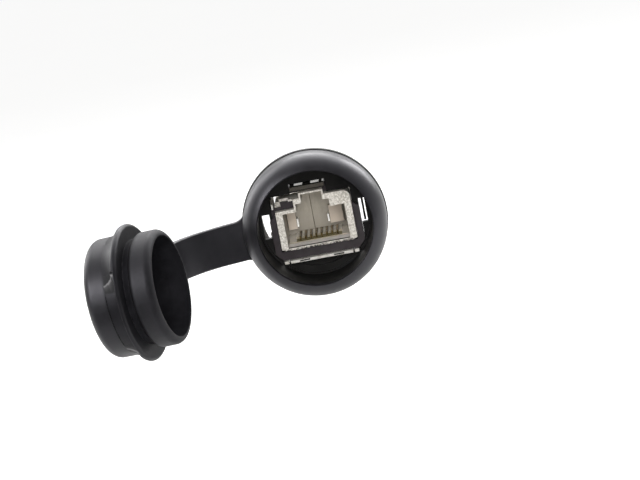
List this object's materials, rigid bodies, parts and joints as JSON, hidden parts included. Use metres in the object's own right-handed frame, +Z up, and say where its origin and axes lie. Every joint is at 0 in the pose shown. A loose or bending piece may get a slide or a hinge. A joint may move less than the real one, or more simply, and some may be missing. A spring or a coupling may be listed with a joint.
{
  "type": "ethernet panel connector",
  "caption": "Round black panel connector with a shielded modular socket set deep in its bore and a soft sealing cap on a strap, clamped in a round hole by a ring nut.",
  "frame": {"origin": "centre of the panel hole, on the panel's front face, where the gasket seats", "axes": "+Y along the connector's axis towards the rear, out through the panel; +Z up, the way the plug's keyway points; +X to the right seen from the front, so the cap's strap leaves towards -X"},
  "size_m": [0.054, 0.0691, 0.0283],
  "materials": {
    "soft_black": "satin, soft touch",
    "housing_plastic": "fine grain",
    "gasket_rubber": "matt",
    "nut_plastic": "fine grain",
    "carrier_plastic": "satin",
    "zinc": "die-cast, plated, slightly rough",
    "sheet_metal": "bright stamped sheet",
    "earth_spring": "bright",
    "insert_plastic": "satin",
    "gold_contact": "gold plated",
    "board": "solder resist"
  },
  "bodies": {
    "connector": {"housing": "housing_plastic", "bezel_ring": "soft_black", "panel_gasket": "gasket_rubber", "coupler_frame": "carrier_plastic", "ground_clip": "sheet_metal", "coupler_board": "board", "front_socket": "zinc", "rear_socket": "zinc", "front_contact_block": "insert_plastic", "rear_contact_block": "insert_plastic", "front_spring_left": "earth_spring", "front_spring_right": "earth_spring", "rear_spring_left": "earth_spring", "rear_spring_right": "earth_spring", "front_contact_1": "gold_contact", "front_contact_2": "gold_contact", "front_contact_3": "gold_contact", "front_contact_4": "gold_contact", "front_contact_5": "gold_contact", "front_contact_6": "gold_contact", "front_contact_7": "gold_contact", "front_contact_8": "gold_contact", "rear_contact_1": "gold_contact", "rear_contact_2": "gold_contact", "rear_contact_3": "gold_contact", "rear_contact_4": "gold_contact", "rear_contact_5": "gold_contact", "rear_contact_6": "gold_contact", "rear_contact_7": "gold_contact", "rear_contact_8": "gold_contact"},
    "strap": {"cap_strap": "soft_black"},
    "cap": {"sealing_cap": "soft_black"},
    "nut": {"ring_nut": "nut_plastic"}
  },
  "joints": [
    {"name": "cap_press", "type": "slide", "parent": "connector", "child": "strap", "axis": [0, 1, 0], "range_m": [0, 0.00565], "stiffness_N_per_m": 20, "deforming": ["cap_strap"]},
    {"name": "cap_swing", "type": "hinge", "parent": "strap", "child": "cap", "pos_m": [-0.02013, -0.00877, -0.0015], "axis": [-0.0758, -0.004, 0.9971], "range_deg": [-40, 102.4], "stiffness_Nm_per_rad": 0.0015, "deforming": ["cap_strap"]},
    {"name": "nut_travel", "type": "slide", "parent": "connector", "child": "nut", "axis": [0, 1, 0], "range_m": [0, 0.034]}
  ]
}
